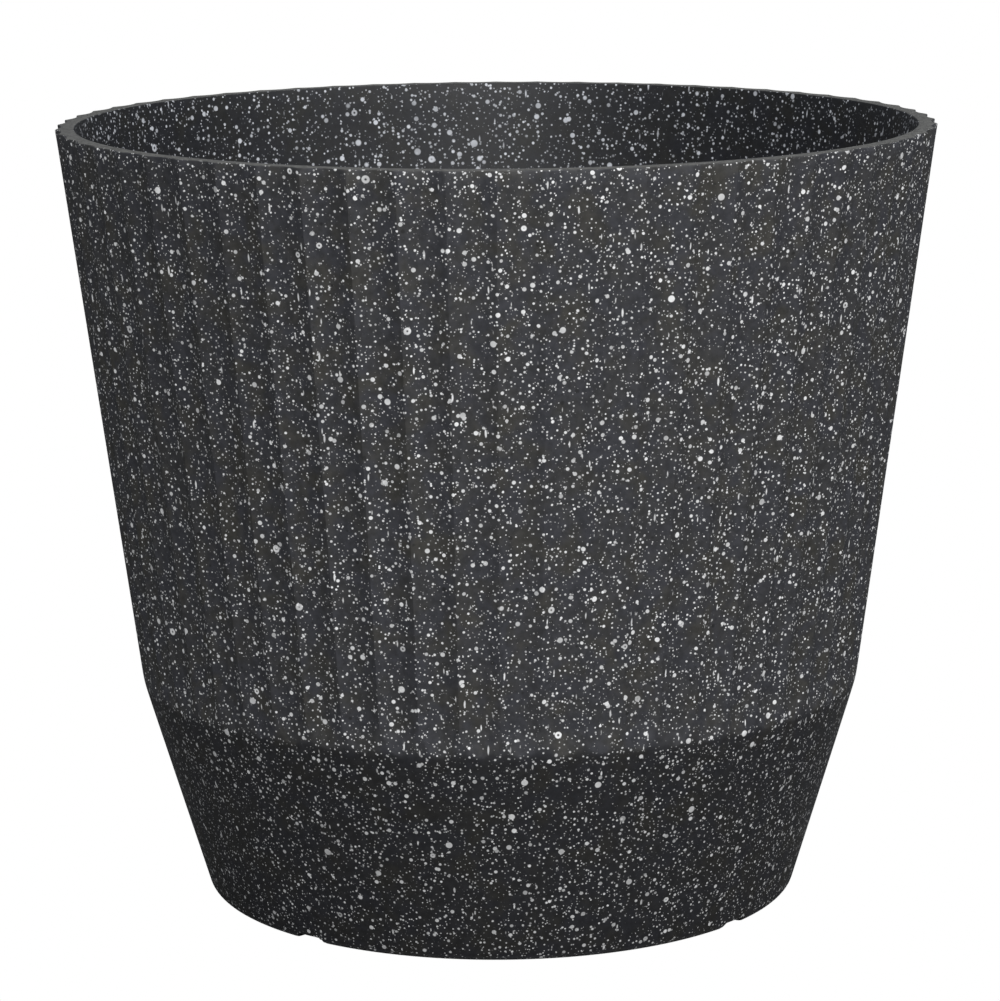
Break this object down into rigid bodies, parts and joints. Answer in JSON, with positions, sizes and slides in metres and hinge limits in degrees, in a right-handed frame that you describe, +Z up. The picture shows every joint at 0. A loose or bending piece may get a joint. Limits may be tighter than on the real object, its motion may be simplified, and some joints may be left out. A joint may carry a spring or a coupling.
{
  "type": "self watering planter",
  "caption": "Round self watering planter with a fluted speckled pot, a lift-out separator plate with wick baskets, a capped fill tube, a float gauge and a standpipe overflow.",
  "frame": {"origin": "on the ground plane under the middle of the pot", "axes": "+Z up along the pot's axis; front towards -Y; +X to the right seen from the front"},
  "size_m": [0.3, 0.3, 0.267],
  "materials": {
    "pot_plastic": "speckled, satin",
    "plate_plastic": "satin",
    "basket_plastic": "satin",
    "leg_plastic": "satin",
    "tube_plastic": "satin",
    "lid_plastic": "satin",
    "float_foam": "fine grained",
    "tip_plastic": "gloss",
    "rod_metal": "drawn",
    "pin_steel": "ground",
    "clear_plastic": "clear",
    "seal_rubber": "matt",
    "pipe_plastic": "satin"
  },
  "bodies": {
    "pot": {"planter_shell": "pot_plastic", "overflow_pipe": "pipe_plastic", "overflow_seal": "seal_rubber", "overflow_nut": "pipe_plastic", "overflow_strainer": "pipe_plastic"},
    "insert": {"separator_plate": "plate_plastic", "wick_basket_1": "basket_plastic", "wick_basket_2": "basket_plastic", "wick_basket_3": "basket_plastic", "support_leg_1": "leg_plastic", "support_leg_2": "leg_plastic", "support_leg_3": "leg_plastic", "fill_tube": "tube_plastic", "fill_collar": "lid_plastic", "hinge_pin": "pin_steel", "gauge_tube": "tube_plastic", "gauge_cap": "clear_plastic"},
    "lid": {"fill_lid": "lid_plastic"},
    "float": {"gauge_float": "float_foam", "gauge_rod": "rod_metal", "gauge_tip": "tip_plastic"}
  },
  "joints": [
    {"name": "insert_lift", "type": "slide", "parent": "pot", "child": "insert", "axis": [0, 0, 1], "range_m": [0, 0.27]},
    {"name": "lid_hinge", "type": "hinge", "parent": "insert", "child": "lid", "pos_m": [-0.02813, -0.105, 0.2496], "axis": [0.9659, -0.2588, 0], "range_deg": [0, 110]},
    {"name": "float_slide", "type": "slide", "parent": "insert", "child": "float", "axis": [0, 0, 1], "range_m": [0, 0.0227]}
  ]
}
